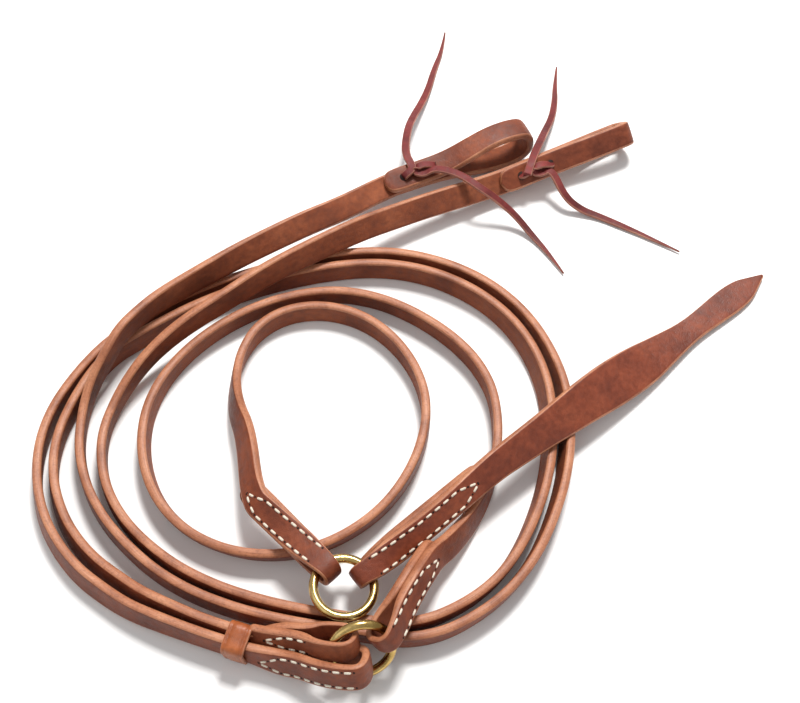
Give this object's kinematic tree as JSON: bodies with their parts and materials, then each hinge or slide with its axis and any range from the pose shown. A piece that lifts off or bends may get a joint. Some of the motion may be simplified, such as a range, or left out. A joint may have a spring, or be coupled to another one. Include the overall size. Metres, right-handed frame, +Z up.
{
  "type": "leather reins",
  "caption": "Western romal reins in harness leather: two laced reins, sliding keeper, brass rings, romal and popper, coiled flat.",
  "frame": {"origin": "middle of the coiled reins on the surface they lie on", "axes": "+Z up, +Y away from the ring end, towards the bit ends, +X to the right"},
  "size_m": [0.3591, 0.3948, 0.0317],
  "materials": {
    "harness_leather": "oiled harness leather with burnished tan edges",
    "popper_leather": "oiled leather, smooth grain up",
    "keeper_leather": "oiled leather band",
    "lace_leather": "dark latigo lace",
    "waxed_thread": "waxed off-white thread",
    "ring_brass": "polished"
  },
  "bodies": {
    "reins": {"rein_left_strap": "harness_leather", "rein_right_strap": "harness_leather", "bit_lace_left": "lace_leather", "bit_lace_right": "lace_leather", "rein_left_stitching": "waxed_thread", "rein_right_stitching": "waxed_thread"},
    "keeper": {"keeper_loop": "keeper_leather"},
    "ring_lower": {"lower_ring": "ring_brass"},
    "romal": {"romal_strap": "harness_leather", "romal_lower_stitching": "waxed_thread", "romal_upper_stitching": "waxed_thread"},
    "ring_upper": {"upper_ring": "ring_brass"},
    "popper": {"popper_strap": "popper_leather", "popper_stitching": "waxed_thread"}
  },
  "joints": [
    {"name": "keeper_slide", "type": "slide", "parent": "reins", "child": "keeper", "axis": [-0.9511, 0.309, 0], "range_m": [0, 0.02]},
    {"name": "ring_lower_spin", "type": "hinge", "parent": "reins", "child": "ring_lower", "pos_m": [-0.0244, -0.1848, 0.018], "axis": [0.2004, -0.8419, 0.5011], "continuous": true},
    {"name": "romal_lift", "type": "hinge", "parent": "reins", "child": "romal", "pos_m": [-0.01461, -0.17963, 0.02278], "axis": [0.5504, -0.3262, -0.7685], "range_deg": [0, 90]},
    {"name": "ring_upper_spin", "type": "hinge", "parent": "romal", "child": "ring_upper", "pos_m": [-0.0324, -0.1573, 0.0169], "axis": [0.1483, 0, 0.9889], "continuous": true},
    {"name": "popper_lift", "type": "hinge", "parent": "romal", "child": "popper", "pos_m": [-0.02315, -0.14971, 0.01551], "axis": [0.6228, -0.7768, -0.093], "range_deg": [0, 100]}
  ]
}
